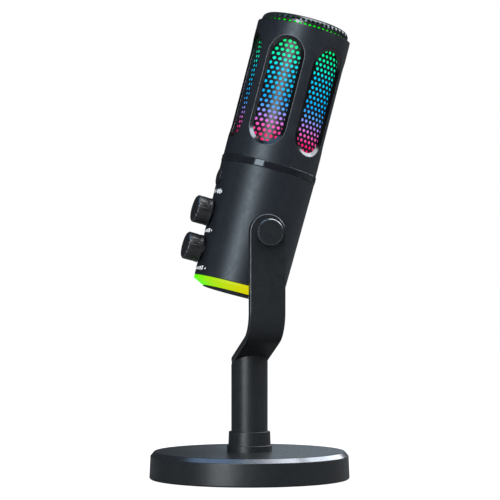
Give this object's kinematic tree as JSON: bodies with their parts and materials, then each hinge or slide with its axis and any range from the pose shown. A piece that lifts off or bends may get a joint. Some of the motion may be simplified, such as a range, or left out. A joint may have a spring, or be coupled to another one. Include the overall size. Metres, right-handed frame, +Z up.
{
  "type": "desktop microphone",
  "caption": "Desktop condenser microphone that tilts on a single side arm over a round weighted base, with lit mesh windows, grooved control knobs and a press key.",
  "frame": {"origin": "centre of the underside of the foot pad, on the desk", "axes": "+Z up along the stem, -Y towards the speaker (the side with the knobs), +X towards the side arm"},
  "size_m": [0.1002, 0.1002, 0.233],
  "materials": {
    "rubber": "matte black",
    "stand_paint": "satin black powder coat",
    "raw_steel": "zinc plated",
    "screw_steel": "plated",
    "insert_brass": "machined",
    "black_screw": "black oxide",
    "white_nylon": "moulded",
    "shell_black": "satin black",
    "mesh_black": "semi-gloss black, perforated",
    "foam": "open-cell foam",
    "diffuser": "milky, lit from inside in bands of colour",
    "circuit_board": "solder-masked glass-fibre board",
    "light_chip": "white chip with a clear window",
    "capsule_gold": "plated capsule",
    "frame_plastic": "moulded",
    "band_gloss": "polished black",
    "light_ring": "milky, lit from inside",
    "chip_black": "moulded",
    "encoder_metal": "pressed",
    "shaft_metal": "machined",
    "knob_black": "satin black, grooved",
    "button_black": "satin black",
    "ribbon": "flat flexible cable"
  },
  "bodies": {
    "stand": {"foot_pad": "rubber", "base_shell": "stand_paint", "base_weight": "raw_steel", "weight_screws": "screw_steel", "base_collar": "stand_paint", "stem": "stand_paint", "stem_bottom_insert": "insert_brass", "stem_bolt": "screw_steel", "stem_washer": "screw_steel", "stem_top_insert": "insert_brass", "arm_screw": "black_screw", "side_arm": "stand_paint", "pivot_bush": "white_nylon"},
    "upper_knob_body": {"upper_knob": "knob_black", "upper_shaft": "shaft_metal"},
    "lower_knob_body": {"lower_knob": "knob_black", "lower_shaft": "shaft_metal"},
    "mode_button_body": {"mode_button": "button_black"},
    "microphone": {"upper_shell": "shell_black", "mesh_tube": "mesh_black", "top_grille": "mesh_black", "wind_foam": "foam", "diffuser_tube": "diffuser", "light_strips": "circuit_board", "light_chips": "light_chip", "capsule": "capsule_gold", "capsule_cradle": "rubber", "capsule_bracket": "frame_plastic", "middle_band": "band_gloss", "lower_shell": "shell_black", "bottom_light_ring": "light_ring", "bottom_light_board": "circuit_board", "bottom_light_chips": "light_chip", "bottom_cap": "shell_black", "cap_screws": "black_screw", "chassis": "frame_plastic", "main_board": "circuit_board", "board_standoffs": "insert_brass", "board_screws": "screw_steel", "board_chips": "chip_black", "upper_encoder": "encoder_metal", "lower_encoder": "encoder_metal", "button_switch": "chip_black", "button_bezel": "band_gloss", "socket_board": "circuit_board", "headphone_jack": "chip_black", "usb_socket": "shaft_metal", "ribbon_cable": "ribbon", "pivot_nut_plate": "raw_steel", "pivot_spacer": "band_gloss", "pivot_screw": "black_screw", "pivot_cap": "stand_paint"}
  },
  "joints": [
    {"name": "mic_tilt", "type": "hinge", "parent": "stand", "child": "microphone", "pos_m": [0.0056, 0, 0.1232], "axis": [1, 0, 0], "range_deg": [-75, 105]},
    {"name": "upper_knob_turn", "type": "hinge", "parent": "microphone", "child": "upper_knob_body", "pos_m": [0.0056, -0.02602, 0.13428], "axis": [0, -0.9662, 0.2578], "range_deg": [-150, 150]},
    {"name": "lower_knob_turn", "type": "hinge", "parent": "microphone", "child": "lower_knob_body", "pos_m": [0.0056, -0.03084, 0.11622], "axis": [0, -0.9662, 0.2578], "range_deg": [-150, 150]},
    {"name": "mode_button_press", "type": "slide", "parent": "microphone", "child": "mode_button_body", "axis": [0, 0.9662, -0.2578], "range_m": [0, 0.0005], "stiffness_N_per_m": 400}
  ]
}
